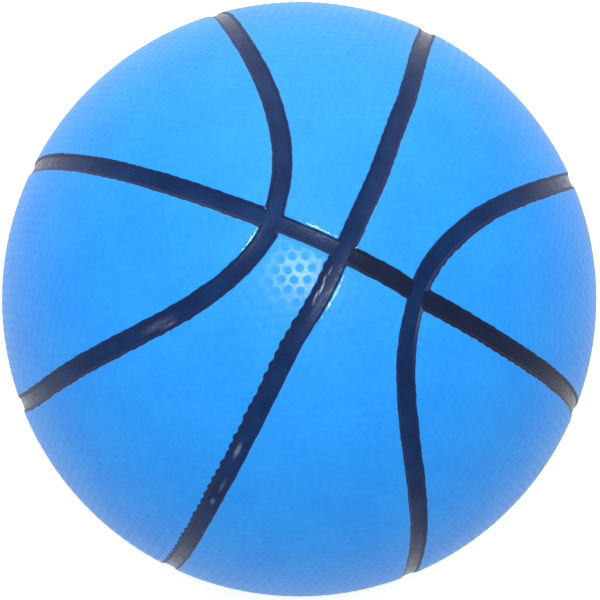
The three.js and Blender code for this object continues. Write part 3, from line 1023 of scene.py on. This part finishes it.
def bump(tree, height, depth, below=None):
    """Relief of a height field, on top of another relief if one is given."""
    node = tree.nodes.new("ShaderNodeBump")
    node.inputs["Strength"].default_value = 1.0
    node.inputs["Distance"].default_value = depth
    tree.links.new(height, node.inputs["Height"])
    if below:
        tree.links.new(below, node.inputs["Normal"])
    return node.outputs["Normal"]


# Materials

def cover_paint(tree):
    """Share of seam paint on a panel. It reaches over the rolled edge, and further over a pebble."""
    wobble = calculate(tree, "SUBTRACT", noise(tree, PAINT_WOBBLE_SIZE), 0.5)
    wobble = calculate(tree, "MULTIPLY", wobble, PAINT_WOBBLE)
    lift = calculate(tree, "MULTIPLY", attribute(tree, "paint_gain"), attribute(tree, "pebble"))
    level = calculate(tree, "ADD", attribute(tree, "paint_level"), lift)
    level = calculate(tree, "ADD", level, wobble)
    return ramp(tree, level, -PAINT_SOFTNESS, PAINT_SOFTNESS)


def cover_colour(tree, painted):
    """Blue with faint patches and specks, and where there is paint, a darker copy of the seam paint: painted
    shade on the rolled lips.
    """
    patches = ramp(tree, noise(tree, PATCH_SIZE, 3.0), *HARD_MARK, 0.0, 0.5)
    specks = ramp(tree, noise(tree, SPECK_SIZE, 3.0), *CLEAR_MARK, 0.0, 0.5)
    blue = mix_colour(tree, calculate(tree, "ADD", patches, specks), COVER_BLUE, COVER_BLUE_PALE)
    paint = mix_colour(tree, attribute(tree, "paint_black"), SHADED_LIP_NAVY, SHADED_LIP_BLACK)
    return mix_colour(tree, painted, blue, paint)


def cover_roughness(tree, painted, grain):
    """Satin web and matt pebbles. Web, rolled edges and paint are glossier where they are rubbed."""
    polish = attribute(tree, "polish")
    shoulder = attribute(tree, "shoulder")
    dome = ramp(tree, attribute(tree, "pebble"), 0.0, MATT_HEIGHT)
    matt = calculate(tree, "MULTIPLY", dome, calculate(tree, "SUBTRACT", 1.0, shoulder))
    web = ramp(tree, polish, 0.0, 1.0, WEB_ROUGHNESS, POLISHED_ROUGHNESS)
    rough = mix_value(tree, matt, web, PEBBLE_ROUGHNESS)
    speckle = ramp(tree, grain, *SOFT_MARK, -GRAIN_ROUGHNESS, GRAIN_ROUGHNESS)
    rough = calculate(tree, "ADD", rough, speckle)
    glint = calculate(tree, "MULTIPLY", shoulder, polish)
    rough = calculate(tree, "SUBTRACT", rough, calculate(tree, "MULTIPLY", glint, SHOULDER_POLISH))
    lip = ramp(tree, polish, 0.0, 1.0, PAINT_ROUGHNESS, POLISHED_PAINT)
    return mix_value(tree, painted, rough, lip)


def cover_material():
    """Blue pebbled rubber, with seam paint over the panel's edge."""
    material, tree, shader = new_material("cover_rubber")
    painted = cover_paint(tree)
    grain = noise(tree, GRAIN_SIZE)
    swell = bump(tree, noise(tree, WEB_SWELL, 1.0), WEB_SWELL_DEPTH)
    tree.links.new(cover_colour(tree, painted), shader.inputs["Base Color"])
    tree.links.new(cover_roughness(tree, painted, grain), shader.inputs["Roughness"])
    tree.links.new(bump(tree, grain, GRAIN_DEPTH, swell), shader.inputs["Normal"])
    shader.inputs["Specular IOR Level"].default_value = COVER_SPECULAR
    return material


def seam_material(name, dark, pale):
    """Glossy dark paint in the channels, with faint brush marks, worn places, and pale painted sheen and
    glints.
    """
    material, tree, shader = new_material(name)
    fade = ramp(tree, noise(tree, FADE_SIZE), *HARD_MARK)
    # Worn places and painted sheen and glints: the marks, broken up by noise, turn the paint pale grey-blue
    mark_breakup = ramp(tree, noise(tree, MARK_BREAKUP_SIZE), *SOFT_MARK, *MARK_BREAKUP_STRENGTH)
    wear_and_sheen_share = ramp(tree, calculate(tree, "MULTIPLY", attribute(tree, "wear_and_sheen"), mark_breakup), *WEAR_AND_SHEEN_LIMITS)
    colour = mix_colour(tree, wear_and_sheen_share, mix_colour(tree, fade, dark, pale), SEAM_WEAR_AND_SHEEN)
    rough = ramp(tree, noise(tree, BRUSH_MARK_SIZE, 4.0), *HARD_MARK, *SEAM_ROUGHNESS)
    tree.links.new(colour, shader.inputs["Base Color"])
    tree.links.new(rough, shader.inputs["Roughness"])
    tree.links.new(bump(tree, noise(tree, RIPPLE_SIZE), RIPPLE_DEPTH), shader.inputs["Normal"])
    shader.inputs["Specular IOR Level"].default_value = SEAM_SPECULAR
    return material


def rubber_material(name):
    """Plain moulded rubber with a fine grain and a little bloom."""
    dark, pale, roughness, grain_size = PLAIN_RUBBERS[name]
    material, tree, shader = new_material(name)
    grain = noise(tree, grain_size, 3.0)
    bloom = ramp(tree, noise(tree, BLOOM_GRAINS * grain_size, 3.0), *BLOOM_MARK)
    smooth, coarse = roughness - RUBBER_ROUGHNESS_SPREAD, roughness + RUBBER_ROUGHNESS_SPREAD
    tree.links.new(mix_colour(tree, bloom, dark, pale), shader.inputs["Base Color"])
    tree.links.new(ramp(tree, grain, *SOFT_MARK, smooth, coarse), shader.inputs["Roughness"])
    tree.links.new(bump(tree, grain, RUBBER_GRAIN_DEPTH), shader.inputs["Normal"])
    shader.inputs["Specular IOR Level"].default_value = RUBBER_SPECULAR
    return material


def winding_material():
    """Pale nylon thread, wound side by side."""
    material, tree, shader = new_material("winding_thread")
    place = tree.nodes.new("ShaderNodeTexCoord")
    waves = tree.nodes.new("ShaderNodeTexWave")
    waves.bands_direction = "DIAGONAL"
    waves.inputs["Scale"].default_value = 1 / THREAD_SIZE
    waves.inputs["Distortion"].default_value = THREAD_WAVER
    tree.links.new(place.outputs["Object"], waves.inputs["Vector"])
    threads = waves.outputs["Fac"]
    tree.links.new(mix_colour(tree, threads, THREAD_SHADE, THREAD_PALE), shader.inputs["Base Color"])
    tree.links.new(ramp(tree, threads, 0.0, 1.0, *THREAD_ROUGHNESS), shader.inputs["Roughness"])
    tree.links.new(bump(tree, threads, THREAD_DEPTH), shader.inputs["Normal"])
    return material


def dress_inner_nodes():
    carcass = rubber_material("carcass_rubber")
    bladder = rubber_material("bladder_rubber")
    winding = winding_material()
    looks = {"carcass": carcass, "thread_winding": winding, "bladder": bladder, "valve_patch": bladder}
    for node, material in looks.items():
        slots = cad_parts[node].data.materials
        slots.clear()
        slots.append(material)


# Stage

def background_ray(tree):
    """1 for rays that show the background: straight to the camera, or by gloss or glass."""
    path = tree.nodes.new("ShaderNodeLightPath")
    seen = calculate(tree, "MAXIMUM", path.outputs["Is Camera Ray"], path.outputs["Is Glossy Ray"])
    return calculate(tree, "MAXIMUM", seen, path.outputs["Is Transmission Ray"])


def floor_material():
    material, tree, shader = new_material("floor_white")
    shader.inputs["Base Color"].default_value = FLOOR_WHITE
    shader.inputs["Roughness"].default_value = FLOOR_ROUGHNESS
    shader.inputs["Specular IOR Level"].default_value = 0.0
    shader.inputs["Emission Color"].default_value = (1, 1, 1, 1)
    glow = calculate(tree, "MULTIPLY", background_ray(tree), FLOOR_GLOW)
    tree.links.new(glow, shader.inputs["Emission Strength"])
    return material


def add_floor():
    size = FLOOR_SIZE
    mesh = bpy.data.meshes.new("floor")
    corners = [(-size, -size), (size, -size), (size, size), (-size, size)]
    mesh.from_pydata([(x, y, -BALL_RADIUS) for x, y in corners], [], [(0, 1, 2, 3)])
    mesh.materials.append(floor_material())
    floor = bpy.data.objects.new("floor", mesh)
    bpy.context.scene.collection.objects.link(floor)


def add_world():
    world = bpy.data.worlds.new("studio")
    bpy.context.scene.world = world
    world.use_nodes = True
    tree = world.node_tree
    background = tree.nodes["Background"]
    background.inputs["Color"].default_value = (1, 1, 1, 1)
    strength = ramp(tree, background_ray(tree), 0.0, 1.0, WORLD_LIGHT, 1.0)
    tree.links.new(strength, background.inputs["Strength"])


def add_lamp(name, direction, distance, size, power):
    lamp = bpy.data.lights.new(name, "AREA")
    lamp.shape = "DISK"
    lamp.size = size
    lamp.energy = power
    holder = bpy.data.objects.new(name, lamp)
    bpy.context.scene.collection.objects.link(holder)
    towards = Vector(direction).normalized()
    holder.location = towards * distance
    holder.rotation_euler = towards.to_track_quat("Z", "Y").to_euler()
    holder.visible_camera = False


def add_camera():
    camera = bpy.data.cameras.new("camera")
    tangent = FRAME_PIXELS / 2 / (BALL_PIXELS * math.sqrt((CAMERA_DISTANCE / BALL_RADIUS) ** 2 - 1))
    camera.sensor_width = SENSOR
    camera.lens = SENSOR / 2 / tangent
    camera.shift_x = (FRAME_PIXELS / 2 - BALL_CENTRE_PIXEL[0]) / FRAME_PIXELS
    camera.shift_y = (BALL_CENTRE_PIXEL[1] - FRAME_PIXELS / 2) / FRAME_PIXELS
    holder = bpy.data.objects.new("camera", camera)
    bpy.context.scene.collection.objects.link(holder)
    back = Vector(CAMERA_BACK).normalized()
    right = Vector(CAMERA_UP).cross(back).normalized()
    turn = Matrix((right, back.cross(right), back)).transposed()
    holder.matrix_world = Matrix.Translation(back * CAMERA_DISTANCE) @ turn.to_4x4()
    bpy.context.scene.camera = holder


def main():
    bpy.context.scene.view_settings.view_transform = "Standard"
    add_camera()
    add_world()
    add_floor()
    add_lamp("softbox", SOFTBOX_DIRECTION, SOFTBOX_DISTANCE, SOFTBOX_SIZE, SOFTBOX_POWER)
    add_lamp("front_lamp", FRONT_LAMP_DIRECTION, FRONT_LAMP_DISTANCE, FRONT_LAMP_SIZE, FRONT_LAMP_POWER)
    add_panels(cover_material())
    navy = seam_material("seam_paint_navy", SEAM_NAVY, SEAM_NAVY_PALE)
    black = seam_material("seam_paint_black", SEAM_BLACK, SEAM_BLACK_PALE)
    add_strips(navy, black)
    add_valve(rubber_material("valve_rubber"), rubber_material("plug_rubber"))
    dress_inner_nodes()


main()
